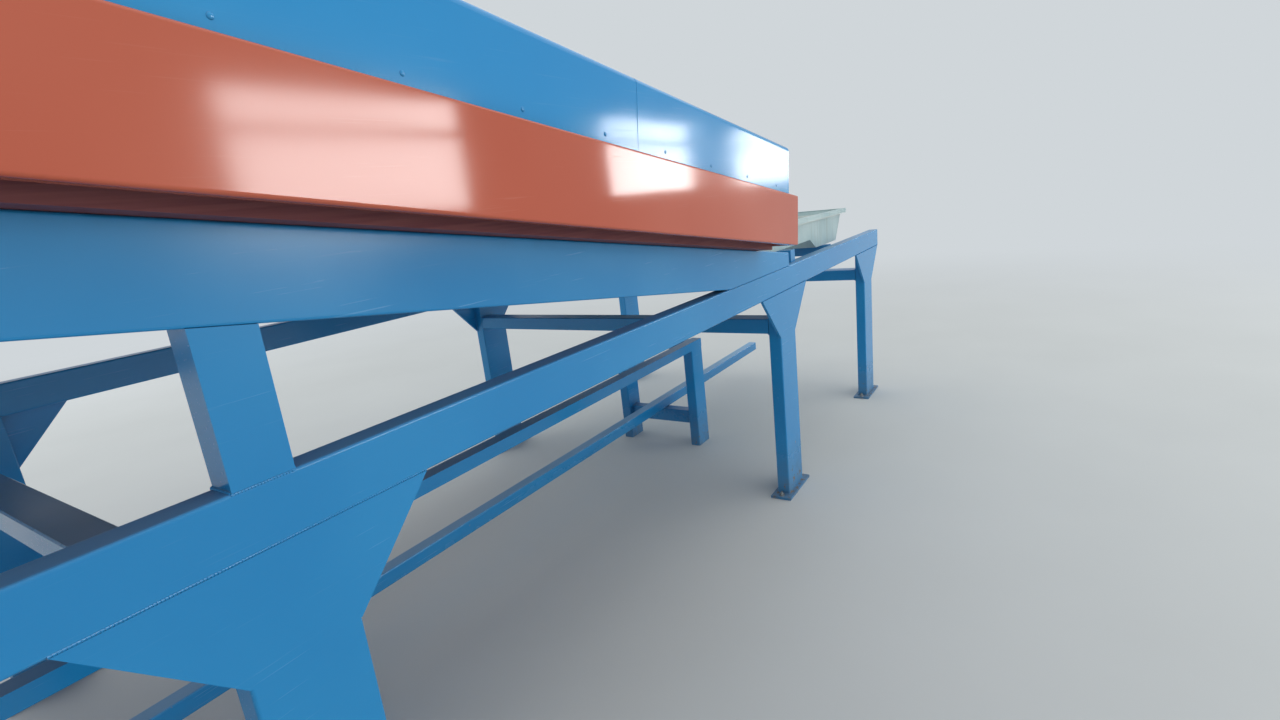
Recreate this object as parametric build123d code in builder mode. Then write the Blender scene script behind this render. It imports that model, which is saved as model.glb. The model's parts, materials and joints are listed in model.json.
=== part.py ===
from build123d import *
import math
import os

os.makedirs("parts", exist_ok=True)

# Tube furnace for annealing many wires side by side, on a steel frame, with its water tank.
# Millimetres. The origin is on the floor in the middle of the frame. +X runs down the furnace
# to the wire outlet, +Y runs across the machine from the front side, and +Z is up.

# Main frame
bay_long = 2400            # leg to leg under the furnace, twice
bay_short = 1600           # leg to leg under the water tank
beam_overhang = 300        # beam past the centre of an end leg
frame_width = 2000         # over the outer faces of the two beams
beam_width = 60
beam_depth = 110
beam_top = 1117
section_round = 6          # rounded long edges of the square tubes
section_chamfer = 4        # the same edges on the cross beams and the low stand's legs
leg_length = 200           # along X
leg_width = 60             # along Y
gusset_run = 195
gusset_drop = 205
gusset_thickness = 12
cross_beam_width = 100     # its high side is flush with the legs
cross_beam_depth = 70
cross_beam_top = 890
foot_end_margin = 45       # plate past the leg, along X
foot_side_margin = 20      # plate past the leg, along Y
foot_thickness = 12
foot_hole_margin = 20      # hole centre in from the end of the plate
foot_hole_radius = 7

# Inclined beams that carry the furnace
furnace_angle = 8
outlet_setback = 280       # from the third leg back to the low end of the furnace
seat_rise = 108            # from the frame up to the furnace seat, at the low end
incline_depth = 155
incline_width = 60
incline_toe = 55           # beam past the centre of the third leg
incline_head = 50          # beam past the high end of the furnace
incline_round = 5          # rounded long edges
post_length = 100
seat_bar_count = 5
seat_bar_width = 60
seat_bar_depth = 80
seat_bar_inset = 100       # first and last bar in from the ends of the furnace

# Furnace housing
inlet_overhang = 20        # high end of the furnace past the centre of the first leg
housing_width = 2264       # blue casing
pan_thickness = 45
pan_inset = 72             # pan edge in from the side of the casing
band_thickness = 28
band_lift = 15             # band's lower edge over the furnace seat
band_height = 198
band_round = 6             # outer edges
hood_height = 192
hood_round = 18
cover_count = 4            # covers that the hood is made of, each with a lid
cover_joint = 4            # gap between two covers
lid_side_inset = 130
lid_end_inset = 60
lid_thickness = 24
lid_corner = 30            # cut off its corners

# Annealing tubes
tube_count = 12
tube_pitch = 150
tube_radius = 11
tube_bore_radius = 8
tube_height = 110          # tube axis over the furnace seat
tube_inlet_length = 50
tube_outlet_length = 560

# Water tank
tank_side_gap = 96         # from the outer face of the frame in to the tank
tank_setback = 200         # from the third leg back to the top edge of the tank
tank_length = 1525         # at the top edge
tank_gap = 5               # from the frame up to the deep floor
tank_depth = 178           # down to the deep floor
tank_shelf_rise = 53       # shallow floor under the tube mouths, over the deep floor
tank_shelf_length = 885    # from the tank's top edge to the end of the shallow floor
tank_step_run = 100        # slope from the shallow floor down to the deep one
tank_wall = 4
tank_end_run = 138         # how far a sloped end leans out over the full depth
tank_rim_width = 26        # flange round the top, with its outer edge turned down
tank_rim_thickness = 5
tank_lip_depth = 22
bearer_width = 60
bearer_inset = 400         # from the top edge of each end of the tank

# Low stand under the furnace and the rail that it carries
stand_width = 550
stand_bay = 2400
stand_overrun = 420        # last pair of legs past the third leg of the frame
stand_leg_length = 130
stand_leg_width = 60
stand_top = 648
stand_beam_depth = 50
stand_beam_width = 60
stand_tie_length = 60
stretcher_bottom = 130
stretcher_length = 60
rail_size = 60
rail_bottom = 210
rail_overhang = 60         # rail past the centre of the first main legs

# Places worked out from the sizes above
frame_span = 2 * bay_long + bay_short
leg_x = (-frame_span / 2, -frame_span / 2 + bay_long, frame_span / 2 - bay_short, frame_span / 2)
beam_length = frame_span + 2 * beam_overhang
beam_bottom = beam_top - beam_depth
frame_half = frame_width / 2
leg_y = frame_half - leg_width / 2
beam_y = frame_half - beam_width / 2
clear_half = frame_half - beam_width
sides = {"front": -1, "rear": 1}

slope_tan = math.tan(math.radians(furnace_angle))
slope_cos = math.cos(math.radians(furnace_angle))
slope_sin = math.sin(math.radians(furnace_angle))
outlet_x = leg_x[2] - outlet_setback
seat_z = beam_top + seat_rise
slope = Plane(
    origin=(outlet_x, 0, seat_z),
    x_dir=(slope_cos, 0, -slope_sin),
    z_dir=(slope_sin, 0, slope_cos),
)
inlet_x = leg_x[0] - inlet_overhang
furnace_length = (outlet_x - inlet_x) / slope_cos


def seat_height(x):
    """Height of the furnace seat, the top of the inclined beams, at x."""
    return seat_z - (x - outlet_x) * slope_tan


def incline_underside(x):
    return seat_height(x) - incline_depth / slope_cos


def side_plane(side, outer, thickness):
    """An upright plane from which thickness of extrusion ends or starts at the outer face."""
    return Plane.XZ.offset(outer - thickness if side < 0 else -outer)


def write(part, name):
    part.label = name
    export_step(part, f"parts/{name}.step")


# Main frame
for side_name, side in sides.items():
    with BuildPart() as beam:
        with BuildSketch(Plane.YZ.offset(-beam_length / 2)):
            with Locations((side * beam_y, beam_top - beam_depth / 2)):
                RectangleRounded(beam_width, beam_depth, section_round)
        extrude(amount=beam_length)
    write(beam.part, f"{side_name}_beam")

    for number, x in enumerate(leg_x, start=1):
        with BuildPart() as leg:
            with BuildSketch(Plane.XY.offset(foot_thickness)):
                with Locations((x, side * leg_y)):
                    RectangleRounded(leg_length, leg_width, section_round)
            extrude(amount=beam_bottom - foot_thickness)
            with BuildSketch(side_plane(side, frame_half, gusset_thickness)):
                with BuildLine():
                    Polyline(
                        (x - leg_length / 2 - gusset_run, beam_bottom),
                        (x - leg_length / 2, beam_bottom - gusset_drop),
                        (x + leg_length / 2, beam_bottom - gusset_drop),
                        (x + leg_length / 2 + gusset_run, beam_bottom),
                        close=True,
                    )
                make_face()
            extrude(amount=gusset_thickness)
        write(leg.part, f"{side_name}_leg_{number}")

cross_beam_length = frame_width - 2 * leg_width
for number, x in enumerate(leg_x, start=1):
    with BuildPart() as cross_beam:
        with BuildSketch(Plane.XZ.offset(-cross_beam_length / 2)) as section:
            with Locations((x - (leg_length - cross_beam_width) / 2, cross_beam_top - cross_beam_depth / 2)):
                Rectangle(cross_beam_width, cross_beam_depth)
            chamfer(section.vertices(), section_chamfer)
        extrude(amount=cross_beam_length)
    write(cross_beam.part, f"cross_beam_{number}")

foot_length = leg_length + 2 * foot_end_margin
foot_width = leg_width + 2 * foot_side_margin
foot_hole_spacing = foot_length - 2 * foot_hole_margin
with BuildPart() as foot_plates:
    with BuildSketch():
        for x in leg_x:
            for side in sides.values():
                with Locations((x, side * leg_y)):
                    Rectangle(foot_length, foot_width)
                    with GridLocations(foot_hole_spacing, 1, 2, 1):
                        Circle(foot_hole_radius, mode=Mode.SUBTRACT)
    extrude(amount=foot_thickness)
write(foot_plates.part, "foot_plates")

# Inclined beams with a long toe that runs out on the frame, and the posts under their high part
incline_left = inlet_x - incline_head
incline_right = leg_x[2] + incline_toe
incline_foot = outlet_x + (seat_z - incline_depth / slope_cos - beam_top) / slope_tan
for side_name, side in sides.items():
    with BuildPart() as incline_beam:
        with BuildSketch(side_plane(side, frame_half, incline_width)):
            with BuildLine():
                Polyline(
                    (incline_left, seat_height(incline_left)),
                    (incline_left, incline_underside(incline_left)),
                    (incline_foot, beam_top),
                    (incline_right, beam_top),
                    (incline_right, seat_height(incline_right)),
                    close=True,
                )
            make_face()
        extrude(amount=incline_width)
        fillet(incline_beam.edges().filter_by(Axis((0, 0, 0), slope.x_dir)), incline_round)
    write(incline_beam.part, f"{side_name}_incline_beam")

    for number, x in enumerate(leg_x[:2], start=1):
        left = x - post_length / 2
        right = x + post_length / 2
        with BuildPart() as post:
            with BuildSketch(side_plane(side, frame_half, incline_width)):
                with BuildLine():
                    Polyline(
                        (left, beam_top),
                        (right, beam_top),
                        (right, incline_underside(right)),
                        (left, incline_underside(left)),
                        close=True,
                    )
                make_face()
            extrude(amount=incline_width)
        write(post.part, f"{side_name}_post_{number}")

seat_bar_pitch = (furnace_length - 2 * seat_bar_inset) / (seat_bar_count - 1)
with BuildPart() as seat_bars:
    with BuildSketch(slope):
        with Locations((-furnace_length / 2, 0)):
            with GridLocations(seat_bar_pitch, 1, seat_bar_count, 1):
                Rectangle(seat_bar_width, frame_width - 2 * incline_width)
    extrude(amount=-seat_bar_depth)
write(seat_bars.part, "seat_bars")

# Furnace housing, drawn on the sloping seat
casing_length = furnace_length - 2 * band_thickness
band_top = band_lift + band_height
hood_top = band_top + hood_height
cover_length = (casing_length - (cover_count - 1) * cover_joint) / cover_count
cover_pitch = cover_length + cover_joint
with BuildPart() as furnace_pan:
    with BuildSketch(slope):
        with Locations((-furnace_length / 2, 0)):
            Rectangle(casing_length, housing_width - 2 * pan_inset)
    extrude(amount=pan_thickness)
write(furnace_pan.part, "furnace_pan")

with BuildPart() as furnace_body:
    with BuildSketch(slope.offset(pan_thickness)):
        with Locations((-furnace_length / 2, 0)):
            Rectangle(casing_length, housing_width)
    extrude(amount=band_top - pan_thickness)
write(furnace_body.part, "furnace_body")

# The hood is rounded round its top as one form, then parted into its covers
with BuildPart() as furnace_hood:
    with BuildSketch(slope.offset(band_top)):
        with Locations((-furnace_length / 2, 0)):
            Rectangle(casing_length, housing_width)
    extrude(amount=hood_height)
    fillet(furnace_hood.faces().sort_by(Axis((0, 0, 0), slope.z_dir))[-1].edges(), hood_round)
    with BuildSketch(slope.offset(band_top)):
        with Locations((-furnace_length / 2, 0)):
            with GridLocations(cover_pitch, 1, cover_count - 1, 1):
                Rectangle(cover_joint, housing_width)
    extrude(amount=hood_height, mode=Mode.SUBTRACT)
write(furnace_hood.part, "furnace_hood")

with BuildPart() as top_lids:
    with BuildSketch(slope.offset(hood_top)) as outlines:
        with Locations((-furnace_length / 2, 0)):
            with GridLocations(cover_pitch, 1, cover_count, 1):
                Rectangle(cover_length - 2 * lid_end_inset, housing_width - 2 * lid_side_inset)
        chamfer(outlines.vertices(), lid_corner)
    extrude(amount=lid_thickness)
write(top_lids.part, "top_lids")

# Band round the housing: its section runs the whole length on the sides and between them on the ends
high_end = Plane(
    origin=slope.from_local_coords((-furnace_length, 0, 0)),
    x_dir=(0, 1, 0),
    z_dir=slope.x_dir,
)
for side_name, side in sides.items():
    with BuildPart() as side_band:
        with BuildSketch(high_end) as section:
            with Locations((side * (housing_width + band_thickness) / 2, band_lift + band_height / 2)):
                Rectangle(band_thickness, band_height)
            fillet(section.vertices().sort_by(Axis((0, 0, 0), (side, 0, 0)))[-2:], band_round)
        extrude(amount=furnace_length)
    write(side_band.part, f"{side_name}_band")

for end_name, outward, x in (
    ("inlet", -1, -furnace_length + band_thickness / 2),
    ("outlet", 1, -band_thickness / 2),
):
    with BuildPart() as end_band:
        with BuildSketch(slope.offset(band_lift)):
            with Locations((x, 0)):
                Rectangle(band_thickness, housing_width)
        extrude(amount=band_height)
        along = Axis((0, 0, 0), slope.x_dir * outward)
        fillet(end_band.edges().filter_by(Axis.Y).sort_by(along)[-2:], band_round)
    write(end_band.part, f"{end_name}_band")

# Annealing tubes where they stand out of the two ends
for end_name, start, direction, length in (
    ("inlet", -furnace_length, -1, tube_inlet_length),
    ("outlet", 0, 1, tube_outlet_length),
):
    mouth = Plane(
        origin=slope.from_local_coords((start, 0, tube_height)),
        x_dir=(0, 1, 0),
        z_dir=slope.x_dir * direction,
    )
    with BuildPart() as tubes:
        with BuildSketch(mouth):
            with GridLocations(tube_pitch, 1, tube_count, 1):
                Circle(tube_radius)
                Circle(tube_bore_radius, mode=Mode.SUBTRACT)
        extrude(amount=length)
    write(tubes.part, f"{end_name}_tubes")

# Water tank: stepped floor and sides in one sheet, sloped ends and a rim
tank_width = frame_width - 2 * tank_side_gap
tank_start = leg_x[2] - tank_setback
tank_end = tank_start + tank_length
tank_middle = tank_start + tank_length / 2
tank_bottom = beam_top + tank_gap
tank_rim_z = tank_bottom + tank_depth
shelf_bottom = tank_bottom + tank_shelf_rise
shelf_end = tank_start + tank_shelf_length
end_tan = tank_end_run / tank_depth
shelf_run = (tank_rim_z - shelf_bottom) * end_tan
step_shift = tank_wall * math.tan(math.atan2(tank_shelf_rise, tank_step_run) / 2)
end_wall_run = tank_wall * math.sqrt(1 + end_tan**2)      # thickness of a sloped end, level
rim_length = tank_length + 2 * tank_rim_width
rim_span = tank_width + 2 * tank_rim_width
with BuildPart() as tank_shell:
    with BuildSketch(Plane.XZ.offset(-tank_width / 2)):
        with BuildLine():
            Polyline(
                (tank_start, tank_rim_z),
                (tank_start + shelf_run, shelf_bottom),
                (shelf_end, shelf_bottom),
                (shelf_end + tank_step_run, tank_bottom),
                (tank_end - tank_end_run, tank_bottom),
                (tank_end, tank_rim_z),
                close=True,
            )
        make_face()
    extrude(amount=tank_width)
    with BuildSketch(Plane.XZ.offset(-tank_width / 2 + tank_wall)):
        with BuildLine():
            Polyline(
                (tank_start - tank_wall * end_tan, tank_rim_z + tank_wall),
                (tank_start + shelf_run - tank_wall * end_tan, shelf_bottom + tank_wall),
                (shelf_end + step_shift, shelf_bottom + tank_wall),
                (shelf_end + tank_step_run + step_shift, tank_bottom + tank_wall),
                (tank_end - tank_end_run + tank_wall * end_tan, tank_bottom + tank_wall),
                (tank_end + tank_wall * end_tan, tank_rim_z + tank_wall),
                close=True,
            )
        make_face()
    extrude(amount=tank_width - 2 * tank_wall, mode=Mode.SUBTRACT)
write(tank_shell.part, "tank_shell")

for end_name, x, outward, floor in (
    ("inlet", tank_start, -1, shelf_bottom),
    ("outlet", tank_end, 1, tank_bottom),
):
    low = floor + tank_wall
    low_x = x - outward * (tank_rim_z - low) * end_tan
    with BuildPart() as tank_end_plate:
        with BuildSketch(Plane.XZ.offset(-tank_width / 2 + tank_wall)):
            with BuildLine():
                Polyline(
                    (x, tank_rim_z),
                    (x - outward * end_wall_run, tank_rim_z),
                    (low_x - outward * end_wall_run, low),
                    (low_x, low),
                    close=True,
                )
            make_face()
        extrude(amount=tank_width - 2 * tank_wall)
    write(tank_end_plate.part, f"tank_{end_name}_end")

with BuildPart() as tank_rim:
    with BuildSketch(Plane.XY.offset(tank_rim_z)):
        with Locations((tank_middle, 0)):
            Rectangle(rim_length, rim_span)
            Rectangle(
                tank_length - 2 * end_wall_run,
                tank_width - 2 * tank_wall,
                mode=Mode.SUBTRACT,
            )
    extrude(amount=tank_rim_thickness)
    with BuildSketch(Plane.XY.offset(tank_rim_z)):
        with Locations((tank_middle, 0)):
            Rectangle(rim_length, rim_span)
            Rectangle(rim_length - 2 * tank_wall, rim_span - 2 * tank_wall, mode=Mode.SUBTRACT)
    extrude(amount=-tank_lip_depth)
write(tank_rim.part, "tank_rim")

# One bearer lies on the frame under the shallow floor, the other is let in between its beams
bearer_depth = shelf_bottom - beam_top
with BuildPart() as tank_bearers:
    with BuildSketch(Plane.XY.offset(beam_top)):
        with Locations((tank_start + bearer_inset, 0)):
            Rectangle(bearer_width, frame_width - beam_width)
    extrude(amount=bearer_depth)
    with BuildSketch(Plane.XY.offset(tank_bottom)):
        with Locations((tank_end - bearer_inset, 0)):
            Rectangle(bearer_width, 2 * clear_half)
    extrude(amount=-bearer_depth)
write(tank_bearers.part, "tank_bearers")

# Low stand: pairs of legs, two long beams on them, ties and stretchers across, and the rail
stand_x = [leg_x[2] + stand_overrun - stand_bay * step for step in (2, 1, 0)]
stand_leg_y = stand_width / 2 - stand_leg_width / 2
stand_length = stand_x[2] - stand_x[0] + stand_leg_length
stand_middle = (stand_x[2] + stand_x[0]) / 2
stand_leg_top = stand_top - stand_beam_depth
for side_name, side in sides.items():
    with BuildPart() as stand_legs:
        with BuildSketch() as section:
            with Locations([(x, side * stand_leg_y) for x in stand_x]):
                Rectangle(stand_leg_length, stand_leg_width)
            chamfer(section.vertices(), section_chamfer)
        extrude(amount=stand_leg_top)
    write(stand_legs.part, f"stand_{side_name}_legs")

    with BuildPart() as stand_beam:
        with BuildSketch(Plane.XY.offset(stand_leg_top)):
            with Locations((stand_middle, side * (stand_width - stand_beam_width) / 2)):
                Rectangle(stand_length, stand_beam_width)
        extrude(amount=stand_beam_depth)
    write(stand_beam.part, f"stand_{side_name}_beam")

with BuildPart() as stand_ties:
    with BuildSketch(Plane.XY.offset(stand_leg_top)):
        with Locations([(x, 0) for x in stand_x]):
            Rectangle(stand_tie_length, stand_width - 2 * stand_beam_width)
    extrude(amount=stand_beam_depth)
write(stand_ties.part, "stand_ties")

with BuildPart() as stand_stretchers:
    with BuildSketch(Plane.XY.offset(stretcher_bottom)):
        with Locations([(x, 0) for x in stand_x]):
            Rectangle(stretcher_length, stand_width - 2 * stand_leg_width)
    extrude(amount=rail_bottom - stretcher_bottom)
write(stand_stretchers.part, "stand_stretchers")

rail_start = leg_x[0] - rail_overhang
rail_end = leg_x[3] + beam_overhang
with BuildPart() as low_rail:
    with BuildSketch(Plane.YZ.offset(rail_start)):
        with Locations((0, rail_bottom + rail_size / 2)):
            RectangleRounded(rail_size, rail_size, section_round)
    extrude(amount=rail_end - rail_start)
write(low_rail.part, "low_rail")

with BuildPart() as end_tie:
    with BuildSketch(Plane.XY.offset(stretcher_bottom)):
        with Locations((leg_x[0], 0)):
            Rectangle(stretcher_length, frame_width - 2 * leg_width)
    extrude(amount=rail_bottom - stretcher_bottom)
write(end_tie.part, "end_tie")
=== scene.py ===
import json
import math

import bmesh
import bpy
from mathutils import Matrix, Vector


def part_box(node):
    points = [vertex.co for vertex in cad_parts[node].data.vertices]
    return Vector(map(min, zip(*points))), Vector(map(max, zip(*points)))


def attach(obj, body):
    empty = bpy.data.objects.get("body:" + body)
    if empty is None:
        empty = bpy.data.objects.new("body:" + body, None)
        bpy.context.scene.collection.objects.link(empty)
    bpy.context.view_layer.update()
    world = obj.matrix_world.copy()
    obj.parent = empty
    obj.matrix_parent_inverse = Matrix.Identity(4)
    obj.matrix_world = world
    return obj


# Looks of the multi-wire annealer: enamelled frame and furnace, water tank, welds, bolts and fittings.
# The frame's axes are the part's own: +X down the furnace to its outlet, +Y across, +Z up, in metres.
# The dictionaries give the machine's and the patterns' sizes in mm, and the stage's in metres.

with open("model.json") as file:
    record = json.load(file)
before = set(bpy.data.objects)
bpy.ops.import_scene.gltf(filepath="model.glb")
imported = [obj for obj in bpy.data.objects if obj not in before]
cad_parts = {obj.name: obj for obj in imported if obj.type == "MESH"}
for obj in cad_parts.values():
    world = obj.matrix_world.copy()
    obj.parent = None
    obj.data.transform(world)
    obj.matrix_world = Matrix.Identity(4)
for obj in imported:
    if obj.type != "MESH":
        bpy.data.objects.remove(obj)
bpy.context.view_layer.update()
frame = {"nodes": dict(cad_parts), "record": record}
mm = 0.001
sameCorner = 0.001 * mm      # corners nearer than this are made one
print("frame loaded:", len(frame["nodes"]), "nodes")


# sRGB hex to the linear colour that a shader takes
def toLinear(hexColour):
    parts = [int(hexColour[i:i + 2], 16) / 255 for i in (1, 3, 5)]
    return [p / 12.92 if p <= 0.04045 else ((p + 0.055) / 1.055) ** 2.4 for p in parts] + [1.0]


# The scale at which one mark of a pattern is this many mm wide
def perMetre(width):
    return 1 / (width * mm)


# A Map Range's inputs for a change that starts at one value and is complete at another
def over(ends):
    return {"From Min": ends[0], "From Max": ends[1]}


# Adds one node; inputs are values or the sockets to link from, settings are its properties.
# A colour Mix takes its share at input 0 and its colours at 6 and 7, and its result is output 2.
def addNode(tree, kind, inputs=None, **settings):
    node = tree.nodes.new(kind)
    for name, value in settings.items():
        setattr(node, name, value)
    for name, value in (inputs or {}).items():
        if isinstance(value, bpy.types.NodeSocket):
            tree.links.new(value, node.inputs[name])
        else:
            node.inputs[name].default_value = value
    return node


def startMaterial(name):
    material = bpy.data.materials.new(name)
    material.use_nodes = True
    tree = material.node_tree
    place = addNode(tree, "ShaderNodeTexCoord").outputs["Object"]
    return material, tree, tree.nodes["Principled BSDF"], place


# Materials

# Gloss enamel sprayed over primer: deep colour under a clear skin, with orange peel, a slow drift of
# colour between spray passes, dust on what faces up, and dirt with painted shade in inside corners.
sheetBlue = {
    "colour": "#188ECF", "fadedColour": "#2698D4", "passWidth": 700,
    "roughness": 0.07, "dullRoughness": 0.16, "peelWidth": 9, "peelDepth": 0.01,
    "waveWidth": 420, "waveDepth": 0.8, "dustColour": "#9A9488", "dustShare": 0.32,
    "scuffColour": "#6AB4DE", "scuffShare": 0.15, "cornerDirtAndShadeColour": "#1B3F5A", "chipReach": 400, "chipAmount": 0.0,
}
sectionBlue = {
    "colour": "#1686C4", "fadedColour": "#228FCA", "passWidth": 450,
    "roughness": 0.15, "dullRoughness": 0.26, "peelWidth": 9, "peelDepth": 0.014,
    "waveWidth": 260, "waveDepth": 0.25, "dustColour": "#8F8A80", "dustShare": 0.38,
    "scuffColour": "#6CAFD8", "scuffShare": 0.35, "cornerDirtAndShadeColour": "#1A3448", "chipReach": 420, "chipAmount": 0.26,
}
railBlueLitTop = dict(sectionBlue, dustColour="#A9CBE0", dustShare=0.7, scuffShare=0.6)      # pale on top: a painted highlight of window light, with more rubbing
sheetOrange = {
    "colour": "#C0583C", "fadedColour": "#C66247", "passWidth": 600,
    "roughness": 0.05, "dullRoughness": 0.12, "peelWidth": 9, "peelDepth": 0.008,
    "waveWidth": 460, "waveDepth": 0.7, "dustColour": "#9C8C80", "dustShare": 0.32,
    "scuffColour": "#DC9078", "scuffShare": 0.2, "cornerDirtAndShadeColour": "#4A1C14", "chipReach": 400, "chipAmount": 0.0,
}
# How any of the enamels wears. A range is where a change starts and where it is complete, in the open
# share of a corner, the upward part of the normal, or the noise.
enamelWear = {
    "driftRange": (0.2, 0.8), "cornerReach": 70, "cornerRange": (0.75, 0.3), "cornerDirtAndShadeShare": 0.75, "smearWidth": 45,
    "upwardRange": (0.6, 0.97), "dustPatch": 360, "dustRange": (0.25, 0.75), "thinDust": 0.5,
    "scuffLength": 240, "scuffWidth": 5, "scuffRange": (0.64, 0.8),
    "splashColour": "#62676A", "splashHeight": 280, "splashShare": 0.9,
    "undercoat": "#77706A", "chipWidth": 22, "chipRange": (0.86, 0.88), "chipDepth": 0.15,
    "dulling": 0.6, "ior": 1.52,      # dried alkyd
}


def glossEnamel(name, look):
    material, tree, shader, place = startMaterial(name)
    wear = enamelWear
    drift = addNode(tree, "ShaderNodeTexNoise", {
        "Vector": place, "Scale": perMetre(look["passWidth"]), "Detail": 3.0, "Roughness": 0.45,
    }).outputs["Fac"]
    driftShare = addNode(tree, "ShaderNodeMapRange", {
        "Value": drift, **over(wear["driftRange"]),
    }, interpolation_type="SMOOTHSTEP").outputs["Result"]
    paint = addNode(tree, "ShaderNodeMix", {
        0: driftShare, 6: toLinear(look["colour"]), 7: toLinear(look["fadedColour"]),
    }, data_type="RGBA").outputs[2]

    # painted shade in the inside corners, darkest where they close in, with dirt that a rag doesn't reach
    corner = addNode(tree, "ShaderNodeAmbientOcclusion", {
        "Distance": wear["cornerReach"] * mm,
    }, samples=4).outputs["AO"]
    smear = addNode(tree, "ShaderNodeTexNoise", {
        "Vector": place, "Scale": perMetre(wear["smearWidth"]), "Detail": 5.0,
    }).outputs["Fac"]
    cornerShare = addNode(tree, "ShaderNodeMapRange", {
        "Value": corner, **over(wear["cornerRange"]), "To Max": wear["cornerDirtAndShadeShare"],
    }).outputs["Result"]
    cornerDirtAndShadeShare = addNode(tree, "ShaderNodeMath", {0: cornerShare, 1: smear}, operation="MULTIPLY").outputs[0]

    # settled dust, thicker in some places
    normal = addNode(tree, "ShaderNodeNewGeometry").outputs["Normal"]
    upward = addNode(tree, "ShaderNodeSeparateXYZ", {"Vector": normal}).outputs["Z"]
    facing = addNode(tree, "ShaderNodeMapRange", {
        "Value": upward, **over(wear["upwardRange"]), "To Max": look["dustShare"],
    }).outputs["Result"]
    drifted = addNode(tree, "ShaderNodeTexNoise", {
        "Vector": place, "Scale": perMetre(wear["dustPatch"]), "Detail": 5.0,
    }).outputs["Fac"]
    settled = addNode(tree, "ShaderNodeMapRange", {
        "Value": drifted, **over(wear["dustRange"]), "To Min": wear["thinDust"],
    }).outputs["Result"]
    dustShare = addNode(tree, "ShaderNodeMath", {0: facing, 1: settled}, operation="MULTIPLY").outputs[0]

    # pale scuffs that run along the machine
    dragged = addNode(tree, "ShaderNodeMapping", {
        "Vector": place,
        "Scale": (perMetre(wear["scuffLength"]), perMetre(wear["scuffWidth"]), perMetre(wear["scuffWidth"])),
    }).outputs["Vector"]
    lines = addNode(tree, "ShaderNodeTexNoise", {"Vector": dragged, "Scale": 1.0, "Detail": 3.0}).outputs["Fac"]
    scuffShare = addNode(tree, "ShaderNodeMapRange", {
        "Value": lines, **over(wear["scuffRange"]), "To Max": look["scuffShare"],
    }).outputs["Result"]

    # grey splash off the floor, when it is washed
    height = addNode(tree, "ShaderNodeSeparateXYZ", {"Vector": place}).outputs["Z"]
    splashed = addNode(tree, "ShaderNodeMapRange", {
        "Value": height, "From Min": wear["splashHeight"] * mm, "From Max": 0.0, "To Max": wear["splashShare"],
    }).outputs["Result"]
    splashShare = addNode(tree, "ShaderNodeMath", {0: splashed, 1: smear}, operation="MULTIPLY").outputs[0]

    # chips down to grey undercoat where trolleys knock the feet
    knocked = addNode(tree, "ShaderNodeMapRange", {
        "Value": height, "From Min": look["chipReach"] * mm, "From Max": 0.0, "To Max": look["chipAmount"],
    }).outputs["Result"]
    speckle = addNode(tree, "ShaderNodeTexNoise", {
        "Vector": place, "Scale": perMetre(wear["chipWidth"]), "Detail": 3.0,
    }).outputs["Fac"]
    struck = addNode(tree, "ShaderNodeMath", {0: speckle, 1: knocked}, operation="ADD").outputs[0]
    chipShare = addNode(tree, "ShaderNodeMapRange", {
        "Value": struck, **over(wear["chipRange"]),
    }).outputs["Result"]

    # each lies over the ones before it
    layers = (
        (cornerDirtAndShadeShare, look["cornerDirtAndShadeColour"]), (dustShare, look["dustColour"]), (scuffShare, look["scuffColour"]),
        (splashShare, wear["splashColour"]), (chipShare, wear["undercoat"]),
    )
    for share, colour in layers:
        paint = addNode(tree, "ShaderNodeMix", {
            0: share, 6: paint, 7: toLinear(colour),
        }, data_type="RGBA").outputs[2]

    # worn and dirty places are duller
    shine = addNode(tree, "ShaderNodeMapRange", {
        "Value": driftShare, "To Min": look["roughness"], "To Max": look["dullRoughness"],
    }).outputs["Result"]
    worn = scuffShare
    for share in (splashShare, dustShare, chipShare):
        worn = addNode(tree, "ShaderNodeMath", {0: worn, 1: share}, operation="ADD").outputs[0]
    dull = addNode(tree, "ShaderNodeMath", {
        0: worn, 1: wear["dulling"], 2: shine,
    }, operation="MULTIPLY_ADD", use_clamp=True).outputs[0]

    # sheet that isn't quite flat, then orange peel, drawn some four times coarser than real to show,
    # then the chips
    wave = addNode(tree, "ShaderNodeTexNoise", {
        "Vector": place, "Scale": perMetre(look["waveWidth"]), "Detail": 1.0,
    }).outputs["Fac"]
    waved = addNode(tree, "ShaderNodeBump", {"Height": wave, "Distance": look["waveDepth"] * mm, "Strength": 1.0})
    peel = addNode(tree, "ShaderNodeTexNoise", {
        "Vector": place, "Scale": perMetre(look["peelWidth"]), "Detail": 1.0,
    }).outputs["Fac"]
    peeled = addNode(tree, "ShaderNodeBump", {
        "Height": peel, "Distance": look["peelDepth"] * mm, "Strength": 1.0, "Normal": waved.outputs["Normal"],
    })
    chipped = addNode(tree, "ShaderNodeBump", {
        "Height": chipShare, "Distance": -wear["chipDepth"] * mm, "Strength": 1.0,
        "Normal": peeled.outputs["Normal"],
    })
    tree.links.new(paint, shader.inputs["Base Color"])
    tree.links.new(dull, shader.inputs["Roughness"])
    tree.links.new(chipped.outputs["Normal"], shader.inputs["Normal"])
    shader.inputs["IOR"].default_value = wear["ior"]
    return material


# Oxide red primer, one brushed coat with no finish over it: matt and streaky along the brush
primerLook = {
    "colour": "#76383A", "thinColour": "#884A46", "thinRange": (0.35, 0.7), "roughness": 0.62,
    "strokeLength": 260, "strokeWidth": 7, "strokeDepth": 0.12,
}


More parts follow.
